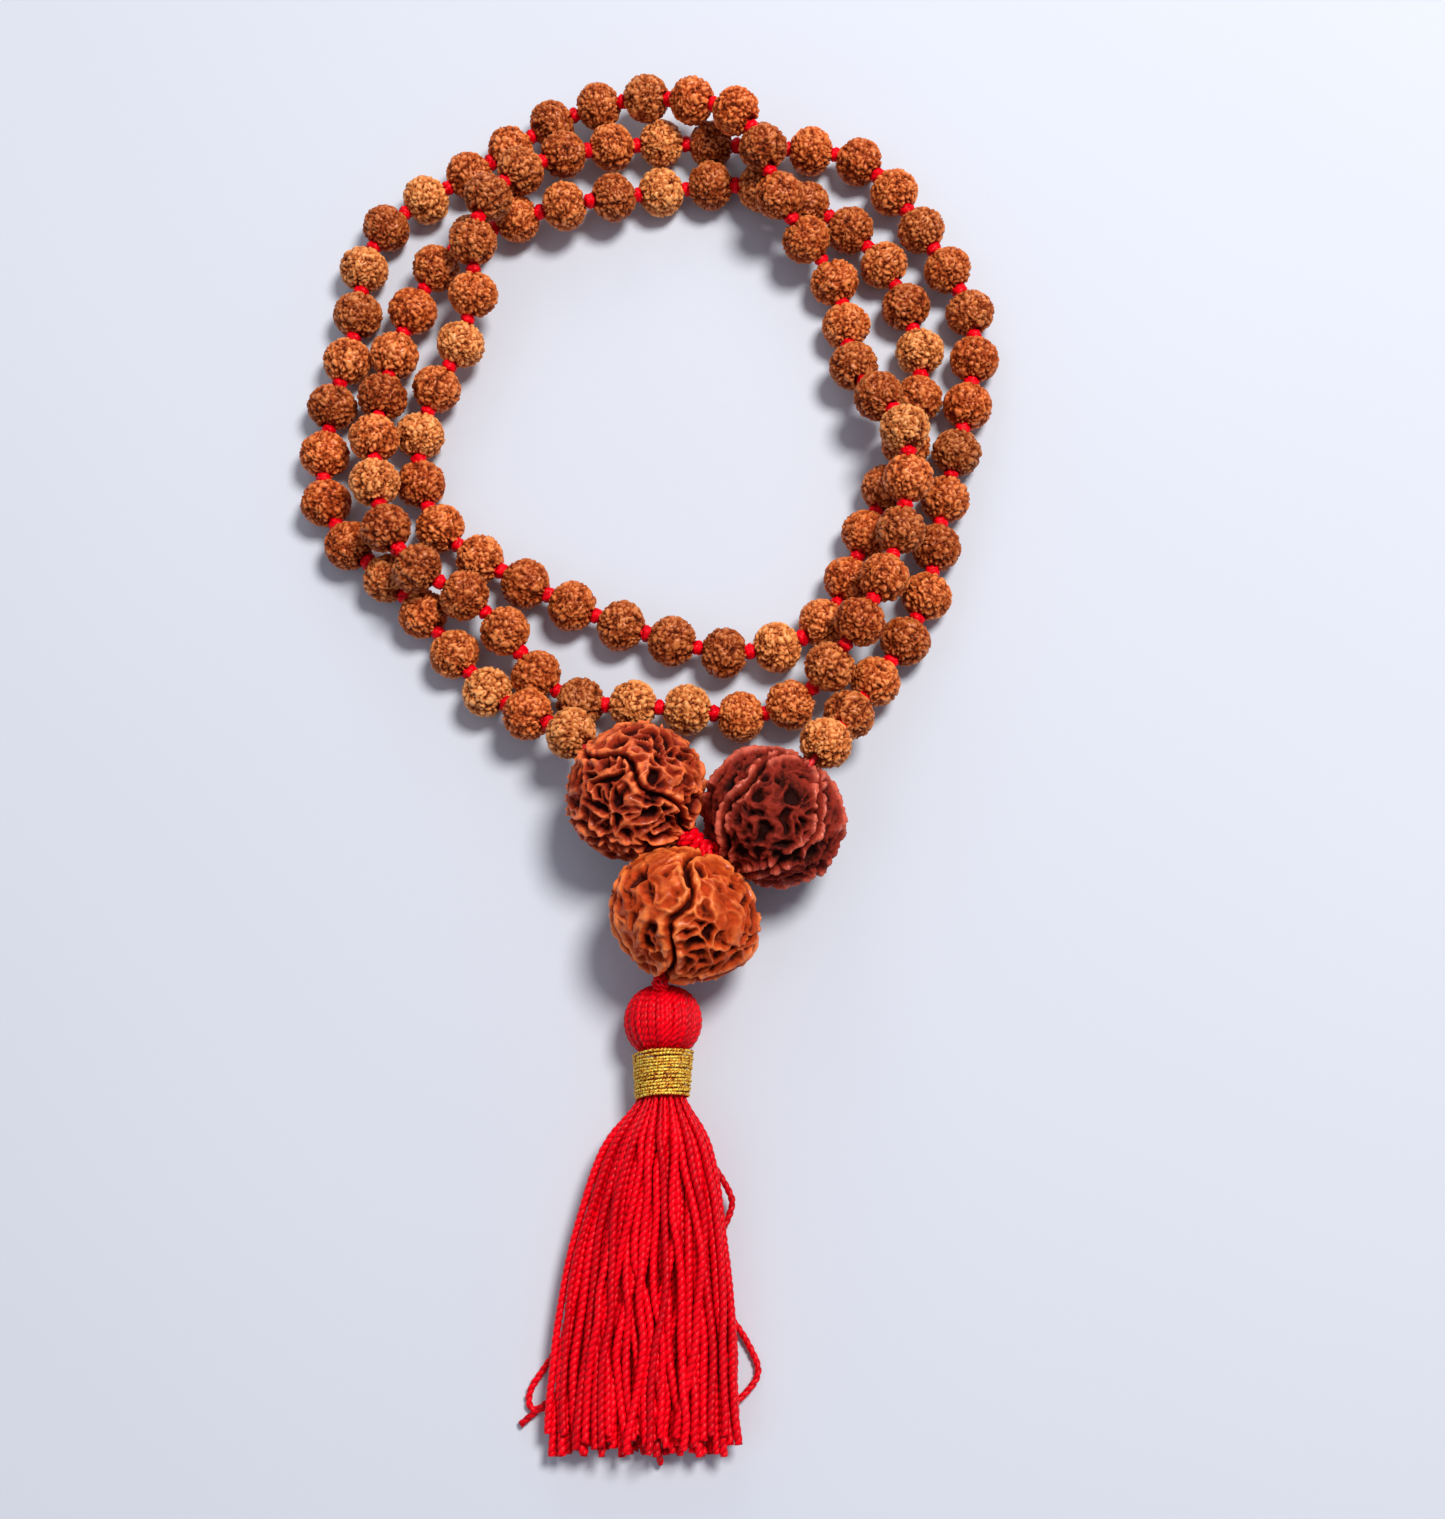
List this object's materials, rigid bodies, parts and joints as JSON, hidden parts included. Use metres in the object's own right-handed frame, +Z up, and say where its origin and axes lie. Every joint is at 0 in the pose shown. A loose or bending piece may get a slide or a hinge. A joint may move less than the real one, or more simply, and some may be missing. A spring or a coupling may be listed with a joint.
{
  "type": "mala prayer beads",
  "caption": "Strand of wrinkled seed prayer beads on a knotted red thread, laid in three loose turns, with large beads, a guru bead and a silky tassel in a gold binding",
  "frame": {"origin": "On the table under the middle of the box round the whole laid-out mala", "axes": "+Y from the tassel to the far side of the turns, +X across the turns to the right with the tassel nearest, +Z up from the table"},
  "size_m": [0.1127, 0.2205, 0.0223],
  "materials": {
    "small_seed": "wrinkled polished seed, dark in its furrows",
    "left_seed": "deeply ridged seed, oiled",
    "right_seed": "pitted dark seed, oiled",
    "guru_seed": "ridged seed, oiled",
    "red_thread": "twisted thread with a silky sheen",
    "red_yarn": "twisted silky yarn",
    "gold_thread": "fine metallic thread, wound"
  },
  "bodies": {
    "strand": {"stringing_cord": "red_thread", "strand_knots": "red_thread", "centre_knot": "red_thread", "guru_cord": "red_thread", "bead_run_021_to_029": "small_seed", "bead_run_030_to_038": "small_seed", "bead_run_039_to_048": "small_seed", "bead_run_049_to_057": "small_seed", "bead_run_058_to_067": "small_seed", "bead_run_068_to_076": "small_seed", "bead_run_077_to_086": "small_seed"},
    "left_large_bead": {"left_large_bead": "left_seed"},
    "right_large_bead": {"right_large_bead": "right_seed"},
    "guru_bead": {"guru_bead": "guru_seed"},
    "tassel_neck": {"tassel_neck_knot": "red_yarn"},
    "tassel": {"tassel_head": "red_yarn", "tassel_core_knot": "red_yarn", "gold_binding": "gold_thread", "tassel_stem": "red_yarn", "tassel_skirt": "red_yarn"},
    "small_bead_001": {"small_bead_001": "small_seed"},
    "small_bead_002": {"small_bead_002": "small_seed"},
    "small_bead_003": {"small_bead_003": "small_seed"},
    "small_bead_004": {"small_bead_004": "small_seed"},
    "small_bead_005": {"small_bead_005": "small_seed"},
    "small_bead_006": {"small_bead_006": "small_seed"},
    "small_bead_007": {"small_bead_007": "small_seed"},
    "small_bead_008": {"small_bead_008": "small_seed"},
    "small_bead_009": {"small_bead_009": "small_seed"},
    "small_bead_010": {"small_bead_010": "small_seed"},
    "small_bead_011": {"small_bead_011": "small_seed"},
    "small_bead_012": {"small_bead_012": "small_seed"},
    "small_bead_013": {"small_bead_013": "small_seed"},
    "small_bead_014": {"small_bead_014": "small_seed"},
    "small_bead_015": {"small_bead_015": "small_seed"},
    "small_bead_016": {"small_bead_016": "small_seed"},
    "small_bead_017": {"small_bead_017": "small_seed"},
    "small_bead_018": {"small_bead_018": "small_seed"},
    "small_bead_019": {"small_bead_019": "small_seed"},
    "small_bead_020": {"small_bead_020": "small_seed"},
    "small_bead_087": {"small_bead_087": "small_seed"},
    "small_bead_088": {"small_bead_088": "small_seed"},
    "small_bead_089": {"small_bead_089": "small_seed"},
    "small_bead_090": {"small_bead_090": "small_seed"},
    "small_bead_091": {"small_bead_091": "small_seed"},
    "small_bead_092": {"small_bead_092": "small_seed"},
    "small_bead_093": {"small_bead_093": "small_seed"},
    "small_bead_094": {"small_bead_094": "small_seed"},
    "small_bead_095": {"small_bead_095": "small_seed"},
    "small_bead_096": {"small_bead_096": "small_seed"},
    "small_bead_097": {"small_bead_097": "small_seed"},
    "small_bead_098": {"small_bead_098": "small_seed"},
    "small_bead_099": {"small_bead_099": "small_seed"},
    "small_bead_100": {"small_bead_100": "small_seed"},
    "small_bead_101": {"small_bead_101": "small_seed"},
    "small_bead_102": {"small_bead_102": "small_seed"},
    "small_bead_103": {"small_bead_103": "small_seed"},
    "small_bead_104": {"small_bead_104": "small_seed"},
    "small_bead_105": {"small_bead_105": "small_seed"},
    "small_bead_106": {"small_bead_106": "small_seed"}
  },
  "joints": [
    {"name": "large_left_spin", "type": "hinge", "parent": "strand", "child": "left_large_bead", "pos_m": [-0.0021, -0.0142, 0.0108], "axis": [-0.7211, 0.691, -0.0501], "continuous": true},
    {"name": "large_right_spin", "type": "hinge", "parent": "strand", "child": "right_large_bead", "pos_m": [0.0186, -0.018, 0.0109], "axis": [0.5809, 0.7712, 0.2604], "continuous": true},
    {"name": "large_guru_spin", "type": "hinge", "parent": "strand", "child": "guru_bead", "pos_m": [0.0051, -0.0339, 0.0112], "axis": [0.3625, 0.9265, 0.1007], "continuous": true},
    {"name": "a_tassel_swing", "type": "hinge", "parent": "strand", "child": "tassel_neck", "pos_m": [0.00181, -0.04303, 0.00978], "axis": [0, 0, 1], "range_deg": [-25, 3]},
    {"name": "a_tassel_lift", "type": "hinge", "parent": "tassel_neck", "child": "tassel", "pos_m": [0.00181, -0.04303, 0.00978], "axis": [-1, 0, 0], "range_deg": [0, 45]},
    {"name": "small_bead_001_spin", "type": "hinge", "parent": "strand", "child": "small_bead_001", "pos_m": [-0.01209, -0.00466, 0.00985], "axis": [-0.7945, 0.5631, -0.2275], "continuous": true},
    {"name": "small_bead_002_spin", "type": "hinge", "parent": "strand", "child": "small_bead_002", "pos_m": [-0.01896, -0.00079, 0.00702], "axis": [-0.8267, 0.3816, -0.4134], "continuous": true},
    {"name": "small_bead_003_spin", "type": "hinge", "parent": "strand", "child": "small_bead_003", "pos_m": [-0.02558, 0.00364, 0.00449], "axis": [-0.7255, 0.6653, -0.1759], "continuous": true},
    {"name": "small_bead_004_spin", "type": "hinge", "parent": "strand", "child": "small_bead_004", "pos_m": [-0.03097, 0.01003, 0.004], "axis": [-0.5963, 0.8027, 0], "continuous": true},
    {"name": "small_bead_005_spin", "type": "hinge", "parent": "strand", "child": "small_bead_005", "pos_m": [-0.03614, 0.01666, 0.004], "axis": [-0.6535, 0.757, 0], "continuous": true},
    {"name": "small_bead_006_spin", "type": "hinge", "parent": "strand", "child": "small_bead_006", "pos_m": [-0.04198, 0.0227, 0.004], "axis": [-0.7353, 0.6777, 0], "continuous": true},
    {"name": "small_bead_007_spin", "type": "hinge", "parent": "strand", "child": "small_bead_007", "pos_m": [-0.0483, 0.02825, 0.004], "axis": [-0.6854, 0.7282, 0], "continuous": true},
    {"name": "small_bead_008_spin", "type": "hinge", "parent": "strand", "child": "small_bead_008", "pos_m": [-0.05238, 0.03551, 0.004], "axis": [-0.2656, 0.9641, 0], "continuous": true},
    {"name": "small_bead_009_spin", "type": "hinge", "parent": "strand", "child": "small_bead_009", "pos_m": [-0.053, 0.04386, 0.004], "axis": [0.0126, 0.9999, 0], "continuous": true},
    {"name": "small_bead_010_spin", "type": "hinge", "parent": "strand", "child": "small_bead_010", "pos_m": [-0.05219, 0.05222, 0.004], "axis": [0.1799, 0.9837, 0], "continuous": true},
    {"name": "small_bead_011_spin", "type": "hinge", "parent": "strand", "child": "small_bead_011", "pos_m": [-0.05019, 0.06039, 0.004], "axis": [0.2269, 0.9739, 0], "continuous": true},
    {"name": "small_bead_012_spin", "type": "hinge", "parent": "strand", "child": "small_bead_012", "pos_m": [-0.04884, 0.06868, 0.004], "axis": [0.0929, 0.9957, 0], "continuous": true},
    {"name": "small_bead_013_spin", "type": "hinge", "parent": "strand", "child": "small_bead_013", "pos_m": [-0.04825, 0.07707, 0.004], "axis": [0.1603, 0.9871, 0], "continuous": true},
    {"name": "small_bead_014_spin", "type": "hinge", "parent": "strand", "child": "small_bead_014", "pos_m": [-0.04494, 0.0847, 0.004], "axis": [0.6118, 0.791, 0], "continuous": true},
    {"name": "small_bead_015_spin", "type": "hinge", "parent": "strand", "child": "small_bead_015", "pos_m": [-0.03847, 0.08999, 0.004], "axis": [0.8466, 0.5322, 0], "continuous": true},
    {"name": "small_bead_016_spin", "type": "hinge", "parent": "strand", "child": "small_bead_016", "pos_m": [-0.03143, 0.09458, 0.004], "axis": [0.8255, 0.5644, 0], "continuous": true},
    {"name": "small_bead_017_spin", "type": "hinge", "parent": "strand", "child": "small_bead_017", "pos_m": [-0.02459, 0.09948, 0.004], "axis": [0.7992, 0.6011, 0], "continuous": true},
    {"name": "small_bead_018_spin", "type": "hinge", "parent": "strand", "child": "small_bead_018", "pos_m": [-0.01772, 0.10431, 0.00414], "axis": [0.8795, 0.4705, 0.0716], "continuous": true},
    {"name": "small_bead_019_spin", "type": "hinge", "parent": "strand", "child": "small_bead_019", "pos_m": [-0.00987, 0.10691, 0.00536], "axis": [0.9661, 0.1431, 0.2147], "continuous": true},
    {"name": "small_bead_020_spin", "type": "hinge", "parent": "strand", "child": "small_bead_020", "pos_m": [-0.00175, 0.10718, 0.00741], "axis": [0.9523, -0.122, 0.2796], "continuous": true},
    {"name": "small_bead_087_spin", "type": "hinge", "parent": "strand", "child": "small_bead_087", "pos_m": [-0.00758, 0.09916, 0.00529], "axis": [0.9637, 0.217, -0.1552], "continuous": true},
    {"name": "small_bead_088_spin", "type": "hinge", "parent": "strand", "child": "small_bead_088", "pos_m": [0.00067, 0.10042, 0.00431], "axis": [0.9936, 0.0827, -0.0767], "continuous": true},
    {"name": "small_bead_089_spin", "type": "hinge", "parent": "strand", "child": "small_bead_089", "pos_m": [0.00906, 0.10054, 0.004], "axis": [0.9989, -0.0476, 0], "continuous": true},
    {"name": "small_bead_090_spin", "type": "hinge", "parent": "strand", "child": "small_bead_090", "pos_m": [0.01746, 0.1001, 0.004], "axis": [0.9975, -0.0711, 0], "continuous": true},
    {"name": "small_bead_091_spin", "type": "hinge", "parent": "strand", "child": "small_bead_091", "pos_m": [0.02583, 0.09928, 0.004], "axis": [0.9924, -0.1233, 0], "continuous": true},
    {"name": "small_bead_092_spin", "type": "hinge", "parent": "strand", "child": "small_bead_092", "pos_m": [0.0339, 0.09716, 0.00408], "axis": [0.868, -0.4958, 0.0275], "continuous": true},
    {"name": "small_bead_093_spin", "type": "hinge", "parent": "strand", "child": "small_bead_093", "pos_m": [0.03961, 0.09115, 0.00446], "axis": [0.5137, -0.8561, 0.0571], "continuous": true},
    {"name": "small_bead_094_spin", "type": "hinge", "parent": "strand", "child": "small_bead_094", "pos_m": [0.0439, 0.08393, 0.00477], "axis": [0.5053, -0.8629, 0.0078], "continuous": true},
    {"name": "small_bead_095_spin", "type": "hinge", "parent": "strand", "child": "small_bead_095", "pos_m": [0.0481, 0.07665, 0.00458], "axis": [0.4929, -0.8684, -0.0545], "continuous": true},
    {"name": "small_bead_096_spin", "type": "hinge", "parent": "strand", "child": "small_bead_096", "pos_m": [0.05159, 0.06904, 0.00415], "axis": [0.2521, -0.967, -0.0361], "continuous": true},
    {"name": "small_bead_097_spin", "type": "hinge", "parent": "strand", "child": "small_bead_097", "pos_m": [0.05206, 0.06071, 0.004], "axis": [-0.128, -0.9918, 0], "continuous": true},
    {"name": "small_bead_098_spin", "type": "hinge", "parent": "strand", "child": "small_bead_098", "pos_m": [0.05072, 0.0524, 0.004], "axis": [-0.1998, -0.9798, 0], "continuous": true},
    {"name": "small_bead_099_spin", "type": "hinge", "parent": "strand", "child": "small_bead_099", "pos_m": [0.04871, 0.04424, 0.004], "axis": [-0.2676, -0.9635, 0], "continuous": true},
    {"name": "small_bead_100_spin", "type": "hinge", "parent": "strand", "child": "small_bead_100", "pos_m": [0.04659, 0.0361, 0.004], "axis": [-0.227, -0.9739, 0], "continuous": true},
    {"name": "small_bead_101_spin", "type": "hinge", "parent": "strand", "child": "small_bead_101", "pos_m": [0.0449, 0.02787, 0.004], "axis": [-0.1739, -0.9848, 0], "continuous": true},
    {"name": "small_bead_102_spin", "type": "hinge", "parent": "strand", "child": "small_bead_102", "pos_m": [0.04314, 0.01965, 0.00404], "axis": [-0.3078, -0.9513, 0.0176], "continuous": true},
    {"name": "small_bead_103_spin", "type": "hinge", "parent": "strand", "child": "small_bead_103", "pos_m": [0.03961, 0.01205, 0.00431], "axis": [-0.528, -0.848, 0.0455], "continuous": true},
    {"name": "small_bead_104_spin", "type": "hinge", "parent": "strand", "child": "small_bead_104", "pos_m": [0.03474, 0.00522, 0.00485], "axis": [-0.577, -0.8019, 0.1548], "continuous": true},
    {"name": "small_bead_105_spin", "type": "hinge", "parent": "strand", "child": "small_bead_105", "pos_m": [0.03032, -0.00119, 0.00786], "axis": [-0.4575, -0.6987, 0.55], "continuous": true},
    {"name": "small_bead_106_spin", "type": "hinge", "parent": "strand", "child": "small_bead_106", "pos_m": [0.02653, -0.00704, 0.01247], "axis": [-0.5299, -0.7833, 0.325], "continuous": true}
  ]
}
